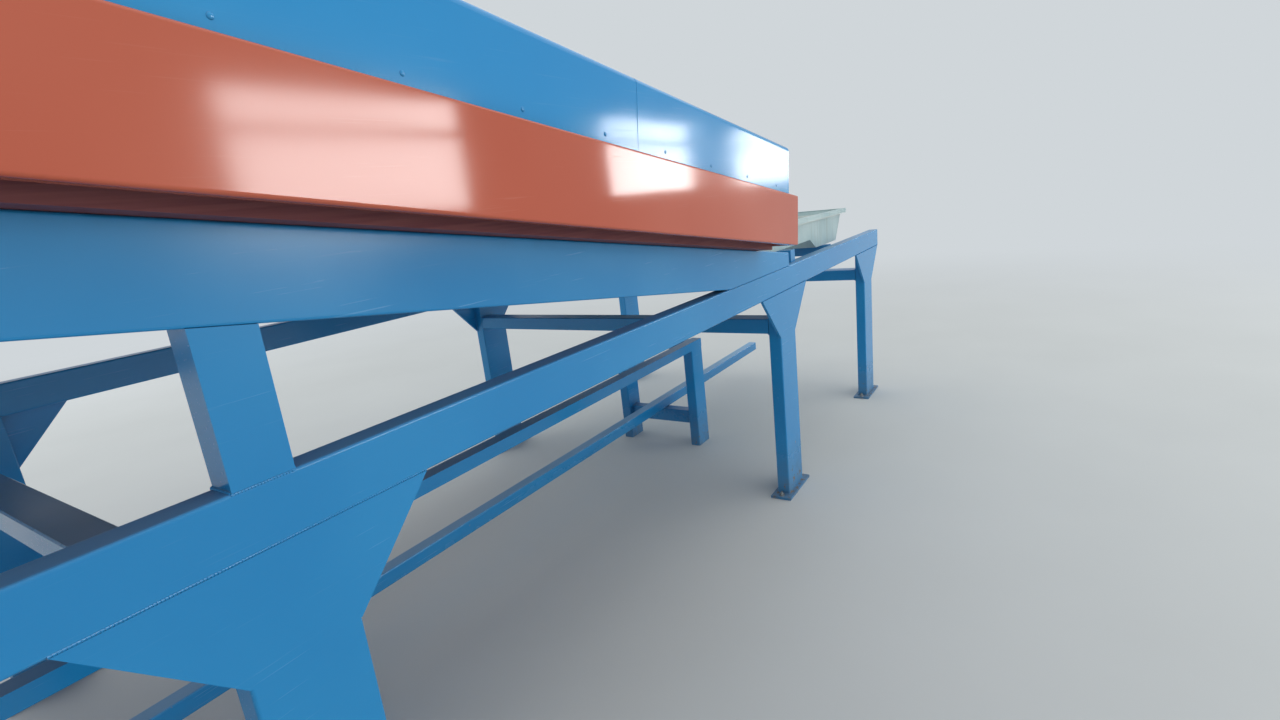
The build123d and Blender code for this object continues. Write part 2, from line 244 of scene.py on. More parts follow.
def brushedPrimer(name, look):
    material, tree, shader, place = startMaterial(name)
    along, across = perMetre(look["strokeLength"]), perMetre(look["strokeWidth"])
    combed = addNode(tree, "ShaderNodeMapping", {
        "Vector": place, "Scale": (along, across, across),
    }).outputs["Vector"]
    strokes = addNode(tree, "ShaderNodeTexNoise", {"Vector": combed, "Scale": 1.0, "Detail": 4.0}).outputs["Fac"]
    cover = addNode(tree, "ShaderNodeMapRange", {
        "Value": strokes, **over(look["thinRange"]),
    }).outputs["Result"]
    paint = addNode(tree, "ShaderNodeMix", {
        0: cover, 6: toLinear(look["colour"]), 7: toLinear(look["thinColour"]),
    }, data_type="RGBA").outputs[2]
    ridges = addNode(tree, "ShaderNodeBump", {
        "Height": strokes, "Distance": look["strokeDepth"] * mm, "Strength": 1.0,
    })
    tree.links.new(paint, shader.inputs["Base Color"])
    tree.links.new(ridges.outputs["Normal"], shader.inputs["Normal"])
    shader.inputs["Roughness"].default_value = look["roughness"]
    return material


# Pale grey-green tank paint, rolled on sheet steel: half matt, with drip marks down its sides and a
# band of lime where the water stands
tankLook = {
    "colour": "#93B0B3", "wornColour": "#A9C0C0", "patchWidth": 220, "wornRange": (0.38, 0.62), "roughness": 0.38,
    "stainColour": "#6E7F78", "stainShare": 0.7, "dripRange": (0.55, 0.8), "dripWidth": 14, "dripLength": 420,
    "limeColour": "#D3D6CC", "limeShare": 0.7, "waterLevel": 1272, "limeHeight": 9, "limeWave": 6,
    "stippleWidth": 8, "stippleDepth": 0.06,
}


def rolledTankPaint(name, look):
    material, tree, shader, place = startMaterial(name)
    patches = addNode(tree, "ShaderNodeTexNoise", {
        "Vector": place, "Scale": perMetre(look["patchWidth"]), "Detail": 5.0,
    }).outputs["Fac"]
    worn = addNode(tree, "ShaderNodeMapRange", {
        "Value": patches, **over(look["wornRange"]),
    }).outputs["Result"]
    paint = addNode(tree, "ShaderNodeMix", {
        0: worn, 6: toLinear(look["colour"]), 7: toLinear(look["wornColour"]),
    }, data_type="RGBA").outputs[2]

    across, down = perMetre(look["dripWidth"]), perMetre(look["dripLength"])
    combed = addNode(tree, "ShaderNodeMapping", {
        "Vector": place, "Scale": (across, across, down),
    }).outputs["Vector"]
    drips = addNode(tree, "ShaderNodeTexNoise", {"Vector": combed, "Scale": 1.0, "Detail": 3.0}).outputs["Fac"]
    dripShare = addNode(tree, "ShaderNodeMapRange", {
        "Value": drips, **over(look["dripRange"]), "To Max": look["stainShare"],
    }).outputs["Result"]
    paint = addNode(tree, "ShaderNodeMix", {
        0: dripShare, 6: paint, 7: toLinear(look["stainColour"]),
    }, data_type="RGBA").outputs[2]

    # the lime's distance from the water line, which wanders a little
    height = addNode(tree, "ShaderNodeSeparateXYZ", {"Vector": place}).outputs["Z"]
    wavy = addNode(tree, "ShaderNodeMath", {
        0: patches, 1: look["limeWave"] * mm, 2: height,
    }, operation="MULTIPLY_ADD").outputs[0]
    offLine = addNode(tree, "ShaderNodeMath", {
        0: wavy, 1: (look["waterLevel"] + look["limeWave"]) * mm,
    }, operation="SUBTRACT").outputs[0]
    distance = addNode(tree, "ShaderNodeMath", {0: offLine}, operation="ABSOLUTE").outputs[0]
    limeShare = addNode(tree, "ShaderNodeMapRange", {
        "Value": distance, "From Min": look["limeHeight"] * mm, "From Max": 0.0, "To Max": look["limeShare"],
    }).outputs["Result"]
    paint = addNode(tree, "ShaderNodeMix", {
        0: limeShare, 6: paint, 7: toLinear(look["limeColour"]),
    }, data_type="RGBA").outputs[2]

    stipple = addNode(tree, "ShaderNodeTexNoise", {
        "Vector": place, "Scale": perMetre(look["stippleWidth"]), "Detail": 2.0,
    }).outputs["Fac"]
    rolled = addNode(tree, "ShaderNodeBump", {
        "Height": stipple, "Distance": look["stippleDepth"] * mm, "Strength": 1.0,
    })
    tree.links.new(paint, shader.inputs["Base Color"])
    tree.links.new(rolled.outputs["Normal"], shader.inputs["Normal"])
    shader.inputs["Roughness"].default_value = look["roughness"]
    return material


# Stainless tube drawn and polished round, heat-tinted from blue through straw away from the furnace wall
tubeLook = {
    "steelColour": "#A9A49C", "strawColour": "#A07A46", "blueColour": "#3C4560",
    "blueReach": 70, "strawReach": 230, "steelReach": 460, "cloudWidth": 50, "cloudReach": 60,
    "scratchWidth": 3, "scratchLength": 60, "scratchDepth": 0.02, "roughness": 0.2, "dullRoughness": 0.45,
}


def heatTintedSteel(name, look, wallX):
    material, tree, shader, place = startMaterial(name)
    along = addNode(tree, "ShaderNodeSeparateXYZ", {"Vector": place}).outputs["X"]
    offWall = addNode(tree, "ShaderNodeMath", {0: along, 1: wallX}, operation="SUBTRACT").outputs[0]
    away = addNode(tree, "ShaderNodeMath", {0: offWall}, operation="ABSOLUTE").outputs[0]
    cloud = addNode(tree, "ShaderNodeTexNoise", {
        "Vector": place, "Scale": perMetre(look["cloudWidth"]), "Detail": 4.0,
    }).outputs["Fac"]
    reached = addNode(tree, "ShaderNodeMath", {
        0: cloud, 1: look["cloudReach"] * mm, 2: away,
    }, operation="MULTIPLY_ADD").outputs[0]
    cool = addNode(tree, "ShaderNodeMapRange", {
        "Value": reached, "From Min": look["blueReach"] * mm, "From Max": look["strawReach"] * mm,
    }).outputs["Result"]
    cold = addNode(tree, "ShaderNodeMapRange", {
        "Value": reached, "From Min": look["strawReach"] * mm, "From Max": look["steelReach"] * mm,
    }).outputs["Result"]
    tint = addNode(tree, "ShaderNodeMix", {
        0: cool, 6: toLinear(look["blueColour"]), 7: toLinear(look["strawColour"]),
    }, data_type="RGBA").outputs[2]
    tint = addNode(tree, "ShaderNodeMix", {
        0: cold, 6: tint, 7: toLinear(look["steelColour"]),
    }, data_type="RGBA").outputs[2]

    lengthwise, around = perMetre(look["scratchWidth"]), perMetre(look["scratchLength"])
    combed = addNode(tree, "ShaderNodeMapping", {
        "Vector": place, "Scale": (lengthwise, around, around),
    }).outputs["Vector"]
    scratches = addNode(tree, "ShaderNodeTexNoise", {"Vector": combed, "Scale": 1.0, "Detail": 3.0}).outputs["Fac"]
    polish = addNode(tree, "ShaderNodeMapRange", {
        "Value": scratches, "To Min": look["roughness"], "To Max": look["dullRoughness"],
    }).outputs["Result"]
    grooves = addNode(tree, "ShaderNodeBump", {
        "Height": scratches, "Distance": look["scratchDepth"] * mm, "Strength": 1.0,
    })
    tree.links.new(tint, shader.inputs["Base Color"])
    tree.links.new(polish, shader.inputs["Roughness"])
    tree.links.new(grooves.outputs["Normal"], shader.inputs["Normal"])
    shader.inputs["Metallic"].default_value = 1.0
    return material


# Bright zinc plate on the bolts: a grey metal with faint spangle and dull fingerprints
zincLook = {
    "colour": "#B4B6B4", "dullColour": "#8E908E", "spangle": 6, "printWidth": 18,
    "roughness": 0.22, "dullRoughness": 0.5,
}


def zincPlate(name, look):
    material, tree, shader, place = startMaterial(name)
    grains = addNode(tree, "ShaderNodeTexVoronoi", {
        "Vector": place, "Scale": perMetre(look["spangle"]),
    }).outputs["Distance"]
    tone = addNode(tree, "ShaderNodeMix", {
        0: grains, 6: toLinear(look["colour"]), 7: toLinear(look["dullColour"]),
    }, data_type="RGBA").outputs[2]
    touched = addNode(tree, "ShaderNodeTexNoise", {
        "Vector": place, "Scale": perMetre(look["printWidth"]), "Detail": 3.0,
    }).outputs["Fac"]
    polish = addNode(tree, "ShaderNodeMapRange", {
        "Value": touched, "To Min": look["roughness"], "To Max": look["dullRoughness"],
    }).outputs["Result"]
    tree.links.new(tone, shader.inputs["Base Color"])
    tree.links.new(polish, shader.inputs["Roughness"])
    shader.inputs["Metallic"].default_value = 1.0
    return material


# Sintered alumina of the eyelets: off-white and dense, with a metallic smear where they are rubbed
aluminaLook = {
    "colour": "#E6E0D2", "rubbedColour": "#B98A6C", "rubWidth": 12, "rubRange": (0.5, 0.75), "rubShare": 0.6,
    "roughness": 0.3, "ior": 1.7,
}


def sinteredAlumina(name, look):
    material, tree, shader, place = startMaterial(name)
    rubbed = addNode(tree, "ShaderNodeTexNoise", {
        "Vector": place, "Scale": perMetre(look["rubWidth"]), "Detail": 4.0,
    }).outputs["Fac"]
    share = addNode(tree, "ShaderNodeMapRange", {
        "Value": rubbed, **over(look["rubRange"]), "To Max": look["rubShare"],
    }).outputs["Result"]
    tone = addNode(tree, "ShaderNodeMix", {
        0: share, 6: toLinear(look["colour"]), 7: toLinear(look["rubbedColour"]),
    }, data_type="RGBA").outputs[2]
    tree.links.new(tone, shader.inputs["Base Color"])
    shader.inputs["Roughness"].default_value = look["roughness"]
    shader.inputs["IOR"].default_value = look["ior"]
    return material


# Powder-coated bar of the handles: satin black with a fine texture, drawn coarser than real to show
powderLook = {"colour": "#1E2022", "paleColour": "#2C2F31", "grainWidth": 5, "grainDepth": 0.04, "roughness": 0.42}


def powderCoat(name, look):
    material, tree, shader, place = startMaterial(name)
    grain = addNode(tree, "ShaderNodeTexNoise", {
        "Vector": place, "Scale": perMetre(look["grainWidth"]), "Detail": 2.0,
    }).outputs["Fac"]
    tone = addNode(tree, "ShaderNodeMix", {
        0: grain, 6: toLinear(look["colour"]), 7: toLinear(look["paleColour"]),
    }, data_type="RGBA").outputs[2]
    texture = addNode(tree, "ShaderNodeBump", {
        "Height": grain, "Distance": look["grainDepth"] * mm, "Strength": 1.0,
    })
    tree.links.new(tone, shader.inputs["Base Color"])
    tree.links.new(texture.outputs["Normal"], shader.inputs["Normal"])
    shader.inputs["Roughness"].default_value = look["roughness"]
    return material


# Still cooling water, a little cloudy with drawing soap: it mirrors the furnace and shows the tubes' ends
waterLook = {
    "colour": "#B9CFCB", "cloudColour": "#A5C2BD", "cloudWidth": 300, "rippleWidth": 90, "rippleDepth": 0.25,
    "roughness": 0.03, "ior": 1.333, "clearness": 0.8,
}


def coolingWater(name, look):
    material, tree, shader, place = startMaterial(name)
    ripple = addNode(tree, "ShaderNodeTexNoise", {
        "Vector": place, "Scale": perMetre(look["rippleWidth"]), "Detail": 2.0,
    }).outputs["Fac"]
    ripples = addNode(tree, "ShaderNodeBump", {
        "Height": ripple, "Distance": look["rippleDepth"] * mm, "Strength": 1.0,
    })
    cloud = addNode(tree, "ShaderNodeTexNoise", {
        "Vector": place, "Scale": perMetre(look["cloudWidth"]), "Detail": 3.0,
    }).outputs["Fac"]
    tone = addNode(tree, "ShaderNodeMix", {
        0: cloud, 6: toLinear(look["colour"]), 7: toLinear(look["cloudColour"]),
    }, data_type="RGBA").outputs[2]
    tree.links.new(tone, shader.inputs["Base Color"])
    tree.links.new(ripples.outputs["Normal"], shader.inputs["Normal"])
    shader.inputs["Roughness"].default_value = look["roughness"]
    shader.inputs["IOR"].default_value = look["ior"]
    shader.inputs["Transmission Weight"].default_value = look["clearness"]
    return material


blueSheet = glossEnamel("blue gloss enamel on sheet", sheetBlue)
blueSection = glossEnamel("blue gloss enamel on steel section", sectionBlue)
# the rail's enamel has a painted highlight on its top, in the pale colour given as its dust
blueRailLitTop = glossEnamel("blue gloss enamel rubbed on the rail", railBlueLitTop)
orangeSheet = glossEnamel("orange red gloss enamel on sheet", sheetOrange)
redPrimer = brushedPrimer("oxide red primer", primerLook)
tankPaint = rolledTankPaint("grey green tank paint", tankLook)
zinc = zincPlate("bright zinc plate", zincLook)
alumina = sinteredAlumina("sintered alumina", aluminaLook)
powder = powderCoat("satin black powder coat", powderLook)
water = coolingWater("cooling water", waterLook)

# The tubes' tint starts at the wall that each row comes out of
inletTube = heatTintedSteel("heat tinted stainless tube at the inlet", tubeLook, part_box("inlet_tubes")[1].x)
outletTube = heatTintedSteel("heat tinted stainless tube at the outlet", tubeLook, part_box("outlet_tubes")[0].x)

bySlot = {
    "blue_enamel": blueSection, "orange_enamel": orangeSheet, "oxide_red_paint": redPrimer,
    "tank_grey_paint": tankPaint, "tube_steel": outletTube,
}
byNode = {
    "furnace_body": blueSheet, "furnace_hood": blueSheet, "top_lids": blueSheet, "inlet_tubes": inletTube,
    "low_rail": blueRailLitTop,
}
for subpart in frame["record"]["subparts"]:
    name = subpart["node"]
    node = frame["nodes"][name]
    node.data.materials.clear()
    node.data.materials.append(byNode.get(name, bySlot[subpart["material_slot"]]))
print("materials given to the frame")


# Pieces

# Makes the finished piece from its bmesh: closed, normals outwards, place in the mesh
def newPiece(name, bm, material, edgeAngle=38):
    bmesh.ops.recalc_face_normals(bm, faces=bm.faces)
    mesh = bpy.data.meshes.new(name)
    bm.to_mesh(mesh)
    bm.free()
    mesh.materials.append(material)
    mesh.shade_smooth()
    mesh.set_sharp_from_angle(angle=math.radians(edgeAngle))
    piece = bpy.data.objects.new(name, mesh)
    bpy.context.scene.collection.objects.link(piece)
    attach(piece, "root")
    return piece


# Adds copies of a small part to a whole, one at each matrix
def addCopies(whole, part, matrices):
    for matrix in matrices:
        mesh = bpy.data.meshes.new("copy")
        part.to_mesh(mesh)
        mesh.transform(matrix)
        whole.from_mesh(mesh)
        bpy.data.meshes.remove(mesh)


# Makes the finished piece from copies of one part
def pieceOfCopies(name, part, places, material):
    whole = bmesh.new()
    addCopies(whole, part, places)
    part.free()
    return newPiece(name, whole, material)


# A place so many mm above the part's own origin
def raised(height):
    return Matrix.Translation((0, 0, height * mm))


# The edges, faces or corners that some elements touch, each once and in the same order each run
def touching(elements, kind):
    return list(dict.fromkeys(part for element in elements for part in getattr(element, kind)))


# A ring turned from its section, given as (radius, height) in mm
def turnedRing(section, steps):
    bm = bmesh.new()
    points = [bm.verts.new((radius * mm, 0, height * mm)) for radius, height in section]
    edges = [bm.edges.new(pair) for pair in zip(points, points[1:] + points[:1])]
    bmesh.ops.spin(
        bm, geom=points + edges, cent=(0, 0, 0), axis=(0, 0, 1), dvec=(0, 0, 0),
        angle=math.tau, steps=steps, use_merge=True, use_duplicate=False,
    )
    bmesh.ops.remove_doubles(bm, verts=bm.verts, dist=sameCorner)
    bmesh.ops.recalc_face_normals(bm, faces=bm.faces)
    return bm


# Where the furnace stands, worked out from the frame as the part's source does
furnace = {
    "angle": math.radians(8), "outletSetback": 280, "seatRise": 108, "inletOverhang": 20,
    "housingWidth": 2264, "bandThickness": 28, "bandTop": 213, "hoodHeight": 192, "hoodRound": 18,
    "covers": 4, "joint": 4, "lidInset": 130, "lidThickness": 24,
    "tubes": 12, "tubePitch": 150, "tubeHeight": 110, "inletLength": 50,
}


def middle(node):
    low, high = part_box(node)
    return (low + high) / 2


legX = [middle(f"front_leg_{number}").x for number in (1, 2, 3, 4)]
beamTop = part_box("front_beam")[1].z
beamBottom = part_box("front_beam")[0].z
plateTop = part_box("foot_plates")[1].z
outletX = legX[2] - furnace["outletSetback"] * mm
inletX = legX[0] - furnace["inletOverhang"] * mm
furnaceLength = (outletX - inletX) / math.cos(furnace["angle"])
bandTop = furnace["bandTop"] * mm
hoodTop = bandTop + furnace["hoodHeight"] * mm
hoodStart = -furnace["bandThickness"] * mm      # the hood stands back from the band's outlet face
coverPitch = (furnaceLength + 2 * hoodStart + furnace["joint"] * mm) / furnace["covers"]
tubeHeight = furnace["tubeHeight"] * mm
tubeY = [(i - (furnace["tubes"] - 1) / 2) * furnace["tubePitch"] * mm for i in range(furnace["tubes"])]
seat = Matrix.Translation((outletX, 0, beamTop + furnace["seatRise"] * mm))
onSeat = seat @ Matrix.Rotation(furnace["angle"], 4, "Y")


# A place on the tilted furnace, in metres from the foot of its outlet, turned about one of its axes
def onFurnace(x, y, z, turn=0, axis="Y"):
    return onSeat @ Matrix.Translation((x, y, z)) @ Matrix.Rotation(turn, 4, axis)


# Brown haze that hot gas leaves on the end bands round the tubes, more of it above them
tubeHaze = {
    "colour": "#3A2620", "core": 14, "reach": 66, "lift": 12, "share": 0.7, "raggedWidth": 70, "ragged": 60,
}


def hazedBand(name, mouthZ, look):
    material = glossEnamel(name, sheetOrange)
    tree = material.node_tree
    shader = tree.nodes["Principled BSDF"]
    paint = shader.inputs["Base Color"].links[0].from_socket
    place = addNode(tree, "ShaderNodeTexCoord").outputs["Object"]
    axes = addNode(tree, "ShaderNodeSeparateXYZ", {"Vector": place}).outputs
    # how far it is to the nearest tube, with the row folded at every tube and halfway between
    halfPitch = furnace["tubePitch"] * mm / 2
    spread = addNode(tree, "ShaderNodeMath", {0: axes["Y"]}, operation="ABSOLUTE").outputs[0]
    folded = addNode(tree, "ShaderNodeMath", {0: spread, 1: halfPitch}, operation="PINGPONG").outputs[0]
    beside = addNode(tree, "ShaderNodeMath", {0: folded, 1: halfPitch}, operation="SUBTRACT").outputs[0]
    above = addNode(tree, "ShaderNodeMath", {
        0: axes["Z"], 1: mouthZ + look["lift"] * mm,
    }, operation="SUBTRACT").outputs[0]
    offset = addNode(tree, "ShaderNodeCombineXYZ", {"X": beside, "Y": above}).outputs["Vector"]
    distance = addNode(tree, "ShaderNodeVectorMath", {0: offset}, operation="LENGTH").outputs["Value"]
    patches = addNode(tree, "ShaderNodeTexNoise", {
        "Vector": place, "Scale": perMetre(look["raggedWidth"]), "Detail": 4.0,
    }).outputs["Fac"]
    ragged = addNode(tree, "ShaderNodeMath", {
        0: patches, 1: look["ragged"] * mm, 2: distance,
    }, operation="MULTIPLY_ADD").outputs[0]
    near = addNode(tree, "ShaderNodeMapRange", {
        "Value": ragged, "From Min": (look["reach"] + look["ragged"] / 2) * mm,
        "From Max": (look["core"] + look["ragged"] / 2) * mm, "To Max": look["share"],
    }, interpolation_type="SMOOTHSTEP").outputs["Result"]
    inRow = addNode(tree, "ShaderNodeMath", {
        0: spread, 1: furnace["tubes"] * halfPitch,
    }, operation="LESS_THAN").outputs[0]
    share = addNode(tree, "ShaderNodeMath", {0: near, 1: inRow}, operation="MULTIPLY").outputs[0]
    hazed = addNode(tree, "ShaderNodeMix", {
        0: share, 6: paint, 7: toLinear(look["colour"]),
    }, data_type="RGBA").outputs[2]
    tree.links.new(hazed, shader.inputs["Base Color"])
    return material


for end, x in (("outlet", 0), ("inlet", -furnaceLength)):
    mouth = onSeat @ Vector((x, 0, tubeHeight))
    band = frame["nodes"][f"{end}_band"]
    band.data.materials.clear()
    band.data.materials.append(hazedBand(f"orange red gloss enamel hazed at the {end}", mouth.z, tubeHaze))
print("haze laid round the tubes")

# Anchor bolts: washer, nut and the end of the stud through each hole of the foot plates
anchorBolt = {
    "holeSpacing": 250, "washerRadius": 12, "washerHeight": 2.5, "washerEdge": 0.6, "washerSides": 28,
    "nutRadius": 11, "nutHeight": 10, "nutSides": 6, "nutEdge": 0.9,
    "studRadius": 6, "studHeight": 22, "studEdge": 0.8, "studSides": 20,
    "turnEachLeg": 17, "turnEachHole": 40,      # in degrees, so that no two nuts stand alike
}


def anchorBolts(size):
    bolt = bmesh.new()
    bmesh.ops.create_cone(
        bolt, cap_ends=True, segments=size["washerSides"], radius1=size["washerRadius"] * mm,
        radius2=(size["washerRadius"] - size["washerEdge"]) * mm, depth=size["washerHeight"] * mm,
        matrix=raised(size["washerHeight"] / 2),
    )
    nut = bmesh.ops.create_cone(
        bolt, cap_ends=True, segments=size["nutSides"], radius1=size["nutRadius"] * mm,
        radius2=size["nutRadius"] * mm, depth=size["nutHeight"] * mm,
        matrix=raised(size["washerHeight"] + size["nutHeight"] / 2),
    )
    bmesh.ops.bevel(
        bolt, geom=touching(nut["verts"], "link_edges"), offset=size["nutEdge"] * mm, segments=2,
        profile=0.5, affect="EDGES", material=-1,
    )
    bmesh.ops.create_cone(
        bolt, cap_ends=True, segments=size["studSides"], radius1=size["studRadius"] * mm,
        radius2=(size["studRadius"] - size["studEdge"]) * mm, depth=size["studHeight"] * mm,
        matrix=raised(size["studHeight"] / 2),
    )
    places = []
    for side in ("front", "rear"):
        for number in (1, 2, 3, 4):
            leg = middle(f"{side}_leg_{number}")
            for step in (-0.5, 0.5):
                turn = math.radians(size["turnEachLeg"] * number + size["turnEachHole"] * step)
                hole = Vector((leg.x + step * size["holeSpacing"] * mm, leg.y, plateTop))
                places.append(Matrix.Translation(hole) @ Matrix.Rotation(turn, 4, "Z"))
    return pieceOfCopies("anchorBolts", bolt, places, zinc)


anchorBolts(anchorBolt)
print("anchor bolts made")

# Cover rivets: low domed heads along the lower edge of the hood, enamelled over with it
coverRivet = {
    "headRadius": 5, "headHeight": 2.2, "around": 20, "rings": 10, "perCover": 4, "endCount": 8, "aboveBand": 26,
}


def coverRivets(size):
    rivet = bmesh.new()
    bmesh.ops.create_uvsphere(
        rivet, u_segments=size["around"], v_segments=size["rings"], radius=size["headRadius"] * mm,
        matrix=Matrix.Diagonal((1, 1, size["headHeight"] / size["headRadius"], 1)),
    )
    height = bandTop + size["aboveBand"] * mm
    half = furnace["housingWidth"] * mm / 2
    quarter = math.pi / 2
    places = []
    for cover in range(furnace["covers"]):
        for step in range(size["perCover"]):
            x = hoodStart - coverPitch * (cover + (step + 0.5) / size["perCover"])
            places += [onFurnace(x, side * half, height, -side * quarter, "X") for side in (-1, 1)]
    hoodEnd = hoodStart - furnace["covers"] * coverPitch + furnace["joint"] * mm
    for step in range(size["endCount"]):
        y = (step - (size["endCount"] - 1) / 2) * 2 * half / size["endCount"]
        places += [onFurnace(x, y, height, turn) for x, turn in ((hoodStart, quarter), (hoodEnd, -quarter))]
    return pieceOfCopies("coverRivets", rivet, places, blueSheet)


coverRivets(coverRivet)
print("cover rivets made")

# Joint seals: sealant that fills the gaps between the hood's covers, painted over with them
jointSeal = {"sunk": 0.6, "roundSteps": 8}


def jointSeals(size):
    sunk = size["sunk"] * mm
    depth = hoodTop - bandTop - sunk
    width = furnace["housingWidth"] * mm - 2 * sunk
    strip = bmesh.new()
    bmesh.ops.create_cube(strip, size=1, matrix=Matrix.Diagonal((furnace["joint"] * mm, width, depth, 1)))
    shoulders = [e for e in strip.edges if min(v.co.z for v in e.verts) > 0 and e.verts[0].co.y == e.verts[1].co.y]
    bmesh.ops.bevel(
        strip, geom=shoulders, offset=furnace["hoodRound"] * mm - sunk, segments=size["roundSteps"],
        profile=0.5, affect="EDGES", material=-1,
    )
    places = []
    for cover in range(1, furnace["covers"]):
        x = hoodStart - cover * coverPitch + furnace["joint"] * mm / 2
        places.append(onFurnace(x, 0, bandTop + depth / 2))
    return pieceOfCopies("jointSeals", strip, places, blueSheet)


jointSeals(jointSeal)
print("joint seals made")

# Lid handles: a bow of round bar with a pad at each foot, two on every lid
lidHandle = {
    "span": 170, "rise": 44, "barRadius": 6, "barSides": 14, "bendRadius": 18, "bendSteps": 6,
    "padRadius": 13, "padHeight": 3, "padEdge": 1, "padSides": 22, "fromLidEdge": 90,
}


def lidHandles(size):
    bow = bmesh.new()
    half = size["span"] * mm / 2
    bend = size["bendRadius"] * mm
    rise = size["rise"] * mm - size["barRadius"] * mm
    ring = bmesh.ops.create_circle(
        bow, cap_ends=False, segments=size["barSides"], radius=size["barRadius"] * mm,
    )["verts"]
    bmesh.ops.translate(bow, verts=ring, vec=(-half, 0, 0))
    edges = touching(ring, "link_edges")
    # up, round the bend, across, round the bend and down
    runs = (
        ("move", (0, 0, rise - bend)), ("turn", -half + bend), ("move", (2 * (half - bend), 0, 0)),
        ("turn", half - bend), ("move", (0, 0, bend - rise)),
    )
    for kind, value in runs:
        if kind == "move":
            made = bmesh.ops.extrude_edge_only(bow, edges=edges)["geom"]
            bmesh.ops.translate(bow, verts=[g for g in made if isinstance(g, bmesh.types.BMVert)], vec=value)
        else:
            made = bmesh.ops.spin(
                bow, geom=edges + touching(edges, "verts"),
                cent=(value, 0, rise - bend), axis=(0, 1, 0), dvec=(0, 0, 0), angle=math.pi / 2,
                steps=size["bendSteps"], use_merge=False, use_duplicate=False,
            )["geom_last"]
        edges = [g for g in made if isinstance(g, bmesh.types.BMEdge)]
    bmesh.ops.remove_doubles(bow, verts=bow.verts, dist=sameCorner)
    for foot in (-half, half):
        bmesh.ops.create_cone(
            bow, cap_ends=True, segments=size["padSides"], radius1=size["padRadius"] * mm,
            radius2=(size["padRadius"] - size["padEdge"]) * mm, depth=size["padHeight"] * mm,
            matrix=Matrix.Translation((foot, 0, size["padHeight"] * mm / 2)),
        )
    y = (furnace["housingWidth"] / 2 - furnace["lidInset"] - size["fromLidEdge"]) * mm
    lidTop = hoodTop + furnace["lidThickness"] * mm
    places = []
    for cover in range(furnace["covers"]):
        x = hoodStart - coverPitch * (cover + 0.5)
        places += [onFurnace(x, side * y, lidTop) for side in (-1, 1)]
    return pieceOfCopies("lidHandles", bow, places, powder)


lidHandles(lidHandle)
print("lid handles made")

# Tube collars: a turned steel ring round each tube where it leaves the band
tubeCollar = {"inner": 11, "outer": 21, "height": 9, "edge": 1.5, "sides": 28}


def tubeCollars(size):
    shoulder = size["height"] - size["edge"]
    collar = turnedRing([
        (size["inner"], 0), (size["outer"], 0), (size["outer"], shoulder),
        (size["outer"] - size["edge"], size["height"]), (size["inner"], size["height"]),
    ], size["sides"])
    places = []
    for y in tubeY:
        for x, turn in ((0, math.pi / 2), (-furnaceLength, -math.pi / 2)):
            places.append(onFurnace(x, y, tubeHeight, turn))
    return pieceOfCopies("tubeCollars", collar, places, zinc)


tubeCollars(tubeCollar)
print("tube collars made")

# Wire eyelets: a flared ceramic ring in the mouth of every inlet tube, its section in (radius, height)
wireEyelet = {
    "section": ((5, 0), (5, 3), (5.8, 4.6), (7.4, 5.6), (10, 6), (12, 5.2), (13, 3), (13, 0)), "sides": 28,
}


def wireEyelets(size):
    eyelet = turnedRing(size["section"], size["sides"])
    mouthX = -furnaceLength - furnace["inletLength"] * mm
    places = [onFurnace(mouthX, y, tubeHeight, -math.pi / 2) for y in tubeY]
    return pieceOfCopies("wireEyelets", eyelet, places, alumina)


wireEyelets(wireEyelet)
print("wire eyelets made")

# Water: its still surface in the tank, over the mouths of the tubes
tankWater = {"level": tankLook["waterLevel"], "wall": 4, "endRun": 138, "tankDepth": 178, "cells": 24}
tankLow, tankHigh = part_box("tank_shell")
endSlant = tankWater["endRun"] / tankWater["tankDepth"]


def waterSurface(size):
    # the ends lean out, so the surface is shorter than the tank's top by how far it lies below it
    drop = tankHigh.z - size["level"] * mm
    inset = drop * endSlant + size["wall"] * mm * math.hypot(1, endSlant)
    length = tankHigh.x - tankLow.x - 2 * inset
    width = tankHigh.y - tankLow.y - 2 * size["wall"] * mm
    centre = Matrix.Translation(((tankLow.x + tankHigh.x) / 2, 0, size["level"] * mm))
    whole = bmesh.new()
    bmesh.ops.create_grid(
        whole, x_segments=size["cells"], y_segments=size["cells"], size=0.5,
        matrix=centre @ Matrix.Diagonal((length, width, 1, 1)),
    )
    return newPiece("waterSurface", whole, water)


waterSurface(tankWater)
print("water made")

# Weld beads: overlapping ripples of weld metal along the joints, painted over with the frame
weld = {
    "radius": 4, "pitch": 5, "sides": 8, "taper": 0.7, "overlap": 1.4, "smoothBelow": 80,
    "legHalf": 100, "gussetRun": 195, "gussetDrop": 205, "gussetPlate": 12, "postHalf": 50,
    "inclineDepth": 155, "inset": 3, "grooveSunk": 2.5,
}


# Adds one bead to a whole: a ripple at its start, copied all the way to its end
def addBead(whole, start, end, size):
    run = end - start
    count = max(2, round(run.length / (size["pitch"] * mm)))
    step = run / count
    bead = bmesh.new()
    turn = run.to_track_quat("Z", "X").to_matrix().to_4x4()
    ripple = bmesh.ops.create_cone(
        bead, cap_ends=True, segments=size["sides"], radius1=size["radius"] * mm,
        radius2=size["radius"] * size["taper"] * mm, depth=size["pitch"] * size["overlap"] * mm,
        matrix=Matrix.Translation(start + step / 2) @ turn,
    )["verts"]
    bmesh.ops.spin(
        bead, geom=ripple + touching(ripple, "link_edges") + touching(ripple, "link_faces"),
        cent=start, axis=(0, 0, 1), dvec=step, angle=0, steps=count - 1, use_merge=False, use_duplicate=True,
    )
    addCopies(whole, bead, [Matrix.Identity(4)])
    bead.free()


